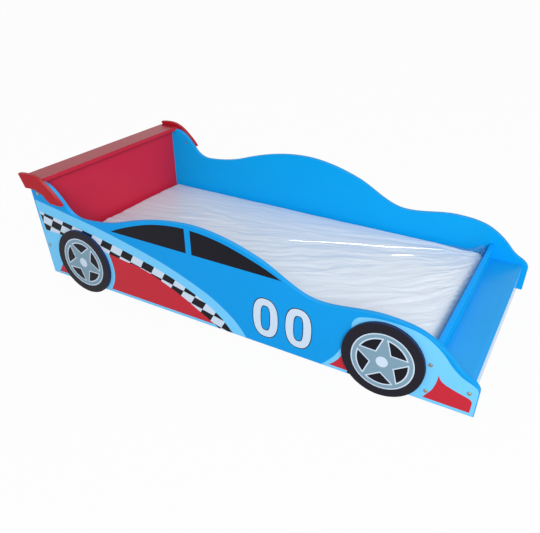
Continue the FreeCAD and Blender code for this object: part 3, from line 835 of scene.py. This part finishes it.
def rounded_run(half, drop, radii, step):
    """From one side to the other along a board with round shoulders, in even steps.

    Each half of it runs flat for half - radius, then round a quarter circle, then down to drop
    below the top. Gives (reach, height share) arrays, with the share 1 on top and 0 at the lowest.
    """
    lengths = [half + drop + radius * (math.pi / 2 - 2) for radius in radii]
    start, end = (int(round(length / step)) for length in lengths)
    s = np.concatenate([np.linspace(-lengths[0], 0, start, endpoint=False),
                        np.linspace(0, lengths[1], end + 1)])
    radius = np.where(s < 0, *radii)
    flat = half - radius
    turn = np.clip((np.abs(s) - flat) / radius, 0, math.pi / 2)
    down = np.clip(np.abs(s) - flat - radius * math.pi / 2, 0, None)
    reach = np.minimum(np.abs(s), flat) + radius * np.sin(turn)
    height = drop - radius * (1 - np.cos(turn)) - down
    return np.sign(s) * reach, height / drop


print("shoulders of %.0f and %.0f mm" % (PAD_ROUND / MM, FOOT_ROUND / MM))

# %% Noise on the pad's plan
CELL = 0.004    # between the points of the plan
MARGIN = 0.02   # of the plan round the pad
PLAN_START = pad_low[:2] - MARGIN
PLAN_SHAPE = tuple(np.ceil((pad_high[:2] - pad_low[:2] + 2 * MARGIN) / CELL).astype(int))
PLAN = np.meshgrid(*[PLAN_START[k] + CELL * np.arange(PLAN_SHAPE[k]) for k in (0, 1)], indexing="ij")
INSIDE = 1.001  # cells that a looked-up place keeps from the plan's far edges


def plan_noise(shortest, longest, seed):
    """Even noise of unit spread whose waves lie between two lengths in metres.

    The spectrum of white noise is multiplied by exp(-(k shortest)^2) (1 - exp(-(k longest)^2)).
    """
    white = np.random.default_rng(seed).standard_normal(PLAN_SHAPE)
    k = np.hypot(np.fft.fftfreq(PLAN_SHAPE[0], CELL)[:, None], np.fft.fftfreq(PLAN_SHAPE[1], CELL))
    made = np.fft.ifft2(np.fft.fft2(white) * np.exp(-(k * shortest)**2) * (1 - np.exp(-(k * longest)**2)))
    return made.real / made.real.std()


def look_up(field, row, column):
    """A field's values between its points, by the weights of the four nearest."""
    row = np.clip(row, 0, field.shape[0] - INSIDE)
    column = np.clip(column, 0, field.shape[1] - INSIDE)
    r, c = row.astype(int), column.astype(int)
    fr, fc = row - r, column - c
    return ((field[r, c] * (1 - fc) + field[r, c + 1] * fc) * (1 - fr)
            + (field[r + 1, c] * (1 - fc) + field[r + 1, c + 1] * fc) * fr)


def on_plan(field, x, y):
    """The values at x, y in metres of a field on the plan."""
    return look_up(field, (x - PLAN_START[0]) / CELL, (y - PLAN_START[1]) / CELL)


def fading(distance, reach):
    """1 at no distance, 0.37 at reach and next to nothing at twice that: exp(-(d / reach)^2)."""
    return np.exp(-(distance / reach)**2)


print("plan of the pad: %d x %d points" % PLAN_SHAPE)

# %% Pull of the bag
BUNCH = (pad_high[0] + 0.015, pad_high[1] - 0.012)  # where the bag is bunched
MOST_LEAN = math.radians(54)                        # of a wrinkle far from the bunch
LATE_ASIDE = 0.28           # beyond this far across and this far along from the bunch, the pull
LATE_AHEAD = 0.05           # turns to run along the bed,
LATE_FADE = 0.3             # over this much more of both ways,
LATE_SHARE = 0.55           # until this share of its slope is gone
STRAIGHT_REACH = 0.18       # nearer to the bunch than this, it runs straight there
WANDER = 0.16               # radians


def pull_direction():
    """The angle to +X along which the bag is pulled, on the plan, in radians.

    The slope towards a bunch at xb, yb is p (yb - y) / (xb - x), with p = 1 on the far side and
    down to 1 - LATE_SHARE on the near side, where wrinkles run along the bed first. Its angle a is
    then eased to L tanh(a / L), with L = MOST_LEAN, except close to the bunch. A slow noise makes
    it wander.
    """
    ahead = np.maximum(BUNCH[0] - PLAN[0], 0.01)
    aside = np.maximum(BUNCH[1] - PLAN[1], 0.0)
    late = np.clip((aside - LATE_ASIDE) / LATE_FADE, 0, 1) * np.clip((ahead - LATE_AHEAD) / LATE_FADE, 0, 1)
    angle = np.arctan2((1 - LATE_SHARE * late) * aside, ahead)
    eased = MOST_LEAN * np.tanh(angle / MOST_LEAN)
    close = fading(np.hypot(ahead, aside), STRAIGHT_REACH)
    return eased + close * (angle - eased) + WANDER * plan_noise(0.10, 0.5, 31)


def smear(noise, angle, length):
    """The mean of the noise along the line of pull through each point, for length both ways."""
    total = noise.copy()
    for way in (-1, 1):
        row, column = (grid.astype(float) for grid in np.indices(PLAN_SHAPE))
        for _ in range(int(length / CELL)):
            turn = look_up(angle, row, column)
            row, column = row + way * np.cos(turn), column + way * np.sin(turn)
            total += look_up(noise, row, column)
    return (total - total.mean()) / total.std()


pull = pull_direction()
print("pull from %.0f to %.0f degrees" % (math.degrees(pull.min()), math.degrees(pull.max())))

# %% Wrinkles that follow the pull
BROAD_HEIGHT = 0.0009       # of the wadding's broad waves
RIDGE_HEIGHT = 0.0012       # of the film's sharp ridges
RIDGE_WIDTH = 0.45          # and where they end, as a value of their noise
FINE_HEIGHT = 0.00026       # of the fine lines between them
FOOT_FINE_HEIGHT = 0.0009   # and what is added to those at the foot end
FOOT_REACH = 0.10
GATHER_LEAST = 0.75         # share of these heights far from the bunch
GATHER_MORE = 0.9           # and what is added to it at the bunch
GATHER_REACH = 0.35
CALM_PLACE = (0.52, -0.27)  # in the near corner of the foot end
CALM_REACH = (0.20, 0.12)
CALM_SHARE = 0.6


def wrinkle_plan():
    """Height of the wrapped surface over the smooth pad on the plan, in metres.

    Broad waves of the wadding, sharp ridges of film where a smeared noise n passes through 0, as
    (1 - |n| / RIDGE_WIDTH)^2, in patches, and fine lines between them. The waves and ridges are
    higher on the near side. All grow towards the bunch, and are calmer round CALM_PLACE.
    """
    broad = smear(plan_noise(0.035, 0.12, 41), pull, 0.10)
    middle = smear(plan_noise(0.016, 0.05, 42), pull, 0.11)
    fine = smear(plan_noise(0.008, 0.022, 43), pull, 0.06)
    patch = np.clip(0.35 + 0.75 * plan_noise(0.07, 0.3, 44), 0, 1.6)
    ridge = np.clip(1 - np.abs(middle) / RIDGE_WIDTH, 0, 1)**2
    far = np.hypot(BUNCH[0] - PLAN[0], BUNCH[1] - PLAN[1])
    gather = GATHER_LEAST + GATHER_MORE * fading(far, GATHER_REACH)
    near_foot = fading(pad_high[0] - PLAN[0], FOOT_REACH)
    near_side = np.clip(0.9 - 2.2 * PLAN[1], 0.45, 1.6)
    along, across = ((PLAN[k] - CALM_PLACE[k]) / CALM_REACH[k] for k in (0, 1))
    calm = 1 - CALM_SHARE * np.exp(-along**2 - across**2)
    waves = (BROAD_HEIGHT * near_side * broad + RIDGE_HEIGHT * near_side * ridge * patch
             + (FINE_HEIGHT + FOOT_FINE_HEIGHT * near_foot) * fine)
    return waves * gather * calm


WRINKLES = wrinkle_plan()


def wrinkles(x, y):
    """The wrinkle plan's height at x, y."""
    return on_plan(WRINKLES, x, y)


print("wrinkles from %.1f to %.1f mm" % (WRINKLES.min() / MM, WRINKLES.max() / MM))

# %% Mattress form
SIDE_DRAW = 0.011    # share of the width by which the sides are drawn in halfway along
CORNER_DRAW = 0.015  # how far the bag draws the foam in across at the far foot corner
CORNER_SHARE = 0.1   # of that, drawn in along
CORNER_REACH = 0.16
TAUT_MIDDLE = 0.31   # y at the foot end where the film is taut
TAUT_REACH = 0.10
TAUT_LIFT = 0.6      # taken off the power p there


def crown(y):
    """Rise of the foam's top over its long edges: CROWN_RISE (1 - (y / half width)^4)."""
    return CROWN_RISE * (1 - (y / pad_high[1])**4)


def mattress_form():
    """The pad as two grids, top and bottom, that share their rim, with crown, drawn sides and wrinkles.

    x = centre + X(u), y = Y(v) (1 - SIDE_DRAW cos^2(pi x / length)), both less the corner's draw,
    which fades away from the foot and as (y / half)^6. Above the rim
    z = rim + (top - rim + crown) H(u)^p H(v), plus the wrinkles. p is 1, and smaller by the bunch,
    where the taut film holds the foot's shoulder up.
    """
    centre = (pad_low + pad_high) / 2
    half = (pad_high - pad_low) / 2
    rim = (SIDE_TOP + pad_low[2]) / 2
    drop = SIDE_TOP - rim
    reach_x, share_x = rounded_run(half[0], drop, (PAD_ROUND, FOOT_ROUND), PAD_STEP)
    reach_y, share_y = rounded_run(half[1], drop, (PAD_ROUND, PAD_ROUND), PAD_STEP)
    x = centre[0] + reach_x[:, None] + 0 * reach_y[None, :]
    draw = 1 - SIDE_DRAW * np.cos(math.pi * reach_x / (2 * half[0]))**2
    y = reach_y[None, :] * draw[:, None]
    near_bunch = (fading(reach_x - half[0], CORNER_REACH)[:, None]
                  * np.clip(reach_y / half[1], 0, 1)[None, :]**6)
    y = y - CORNER_DRAW * near_bunch
    x = x - CORNER_SHARE * CORNER_DRAW * near_bunch
    taut = (reach_x > 0)[:, None] * fading(reach_y - TAUT_MIDDLE, TAUT_REACH)[None, :]
    share = share_x[:, None]**(1 - TAUT_LIFT * taut) * share_y[None, :]
    top = rim + (drop + crown(y)) * share + wrinkles(x, y) * np.clip(share * 3, 0, 1)
    bottom = rim - (rim - pad_low[2]) * share
    return x, y, top, bottom


def mattress_mesh(finish):
    """The closed pad: its top grid, and the inner points of its bottom grid, which share the rim."""
    x, y, top, bottom = mattress_form()
    inner = np.zeros(x.shape, bool)
    inner[1:-1, 1:-1] = True
    top_ids = numbered(*x.shape)
    low_ids = top_ids.copy()
    low_ids[inner] = x.size + np.arange(inner.sum())
    points = np.vstack([np.column_stack([x.ravel(), y.ravel(), top.ravel()]),
                        np.column_stack([x[inner], y[inner], bottom[inner]])])
    quads = np.vstack([cells_of(top_ids), cells_of(low_ids)[:, ::-1]])
    print("mattress: %d quads" % len(quads))
    return make_piece("wrapped_mattress", points.tolist(), quads.tolist(), [finish])


print("crown of the foam: %.1f mm" % (crown(0.0) / MM))

# %% [markdown]
# What shows of the mattress is white ticking through clear film. A clear coat stands for the film:
# the ground stays soft and pale, and only the coat shines. A bump that is stretched along the pull
# stands for creases too fine for the mesh.

# %% Wrapped ticking
def wrapped_ticking(name, coat, coat_roughness, crinkle_strength):
    """White ticking under a clear film: a soft pale ground with a glossy coat and fine film creases."""
    finish = Finish(name, Coat_Weight=coat, Coat_Roughness=coat_roughness, Roughness=0.6,
                    Specular_IOR_Level=0.3)
    cloud = finish.noise(3.0, 2.0)
    crinkle = finish.noise(34.0, 4.0, 0.6, finish.place((0.35, 1.6, 1.0), (0, 0, math.radians(-24))))
    tone = finish.blend(cloud, screen(200, 213, 229), screen(223, 231, 240))
    return finish.feed(Base_Color=tone, Normal=finish.bump(crinkle, 0.0012, crinkle_strength))


mattress = mattress_mesh(wrapped_ticking("wrapped_ticking", coat=0.55, coat_roughness=0.09,
                                         crinkle_strength=0.55))
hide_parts("mattress")
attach(mattress, "root")
print("mattress wrapped")

# %% [markdown]
# ## Folds and the tail of the bag
#
# In a few places the slack film stands up from the ticking in a thin fold, and a lamp overhead
# draws a white line along it. A grid as coarse as the pad's would break that line into dashes, so
# each such fold is a strip of its own: the profile of a low tent, carried along a line on the pad.

# %% Film folds
FOLD_POINTS = 60
FOLD_ACROSS = 17
FOLD_WIDTH = 0.014
FOLD_HEIGHT = 0.0024
FOLD_POWER = 1.2      # 1 gives a tent, 2 an arch
FOLD_SEAT = 0.0003    # of its edges below the ground
FOLD_DEPTH = 0.0010   # and of its underside
FOLD_WAVES = 4
FOLD_WANDER = 0.0027  # of its length, for each wave of its line
FOLD_FILM = wrapped_ticking("fold_film", coat=1.0, coat_roughness=0.07, crinkle_strength=0.0)


def top_of_pad(x, y):
    """Height of the mattress surface over x, y, away from its shoulders."""
    return SIDE_TOP + crown(y) + wrinkles(x, y)


def film_fold(name, start, end, seed):
    """A strip along a line on the pad: z = FOLD_HEIGHT (1 - |2v - 1|^FOLD_POWER), with v across it.

    The line wanders a little, over a ground that is a cubic through the pad's heights, and width
    and height fade as sin(pi u)^0.5 towards both ends.
    """
    u = np.linspace(0, 1, FOLD_POINTS)
    start, end = np.array(start), np.array(end)
    length = np.hypot(*(end - start))
    side_way = np.array((start[1] - end[1], end[0] - start[0])) / length
    drift = np.random.default_rng(seed).normal(0, FOLD_WANDER * length, FOLD_WAVES)
    wander = sum(drift[k] * np.sin((k + 1) * math.pi * u) for k in range(FOLD_WAVES))
    middle = start + u[:, None] * (end - start) + wander[:, None] * side_way
    fade = np.sin(math.pi * np.clip(u, 0.001, 0.999))[:, None]**0.5
    v = np.linspace(0, 1, FOLD_ACROSS)
    across = (v - 0.5) * FOLD_WIDTH * fade
    x = middle[:, None, 0] + across * side_way[0]
    y = middle[:, None, 1] + across * side_way[1]
    ground = np.polyval(np.polyfit(u, top_of_pad(*middle.T), 3), u)[:, None] + 0 * x
    over = ground + FOLD_HEIGHT * fade * (1 - np.abs(2 * v - 1)**FOLD_POWER) - FOLD_SEAT
    halves = (x, x), (y, y), (over, ground - FOLD_DEPTH)
    rings = np.stack([np.concatenate([upper, lower[:, ::-1]], 1) for upper, lower in halves], -1)
    ids = numbered(*rings.shape[:2])
    quads = cells_of(np.column_stack([ids, ids[:, 0]]))
    caps = [ids[0].tolist(), ids[-1][::-1].tolist()]
    made = make_piece(name, rings.reshape(-1, 3).tolist(), quads.tolist() + caps, [FOLD_FILM])
    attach(made, "root")


film_fold("film_fold_long", (-0.009, 0.079), (0.560, 0.311), seed=1)
film_fold("film_fold_short", (0.370, 0.158), (0.478, 0.221), seed=2)
print("film folds made")

# %% [markdown]
# The open end of the bag is bunched into the corner between the foam, the side board and the
# footboard. There the film lies in several layers, clear where it is single and whitish along its
# rims and creases, so how much it hides is stored on the mesh, point by point, and the material
# reads it back as its alpha.

# %% Tail of the bag
TAIL_COLUMNS, TAIL_ROWS = 61, 33
SHOULDER = 0.1415         # height at which the sheet leaves the foam
BOARD_GAP = 0.0012
RUMPLE_HEIGHT = 0.003
SWELL_HEIGHT = 0.004
LEAN = 0.5                # away from the board, for each metre that the sheet rises
RIM_REACH = (0.05, 0.07)  # of its whitish rims along u and v
CREASE_WIDTH = 0.35       # as a value of the noise
FLAT_BODY, RIM_BODY, CREASE_BODY, MOST_BODY = 0.06, 0.26, 0.12, 0.5
FILM_THICKNESS = 0.0003


def bag_film():
    """Clear polythene, whitish where the mesh's film_body attribute says that it is thick."""
    finish = Finish("bag_film", Roughness=0.16, Specular_IOR_Level=0.6)
    body = finish.add("ShaderNodeAttribute", {"attribute_name": "film_body"}, out="Fac")
    crinkle = finish.noise(260.0, 2.0)
    # painted reflection: the film's base colour is the blue of the boards around it
    return finish.feed(Base_Color=(0.32, 0.56, 0.95, 1.0), Alpha=body * (0.8 + crinkle * 0.4),
                       Normal=finish.bump(crinkle, 0.0004, 0.5))


def bag_tail():
    """A ruled sheet from the foam's shoulder up to the side board, crumpled.

    P(u, v) = (1 - v) foam(u) + v board(u). With n for noise of 6 to 30 mm waves, z then rises by
    c = RUMPLE_HEIGHT n sin(pi v)^0.5 + SWELL_HEIGHT sin(pi v), and y falls by LEAN c where c > 0.
    """
    on_foam = curve([(0.530, 0.345), (0.590, 0.340), (0.625, 0.336), (0.662, 0.333)], TAIL_COLUMNS)
    on_board = curve([(0.530, 0.133), (0.585, 0.137), (0.615, 0.145), (0.635, 0.157), (0.651, 0.163),
                      (0.662, 0.152)], TAIL_COLUMNS)
    foam = np.column_stack([on_foam, np.full(TAIL_COLUMNS, SHOULDER)])
    board = np.insert(on_board, 1, SIDE_INNER - BOARD_GAP, axis=1)
    grid = ruled(foam, board, TAIL_ROWS)
    u = np.linspace(0, 1, TAIL_COLUMNS)[:, None]
    v = np.linspace(0, 1, TAIL_ROWS)
    rumple = on_plan(plan_noise(0.006, 0.03, 51), grid[..., 0], grid[..., 1])
    lift = RUMPLE_HEIGHT * rumple * np.sin(math.pi * v)**0.5 + SWELL_HEIGHT * np.sin(math.pi * v)
    grid[..., 2] += lift
    grid[..., 1] -= LEAN * np.clip(lift, 0, None)
    rims = fading(1 - v, RIM_REACH[1]) + fading(1 - u, RIM_REACH[0])
    creases = np.clip(1 - np.abs(rumple) / CREASE_WIDTH, 0, 1)**2
    body = np.minimum(FLAT_BODY + RIM_BODY * rims + CREASE_BODY * creases, MOST_BODY)
    made = make_piece("bag_tail", grid.reshape(-1, 3).tolist(), cells_of(numbered(*body.shape)).tolist(),
                      [bag_film()])
    made.data.attributes.new("film_body", "FLOAT", "POINT").data.foreach_set("value", body.ravel())
    shell = made.modifiers.new("film", "SOLIDIFY")
    shell.thickness = FILM_THICKNESS
    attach(made, "root")


bag_tail()
print("tail of the bag made")
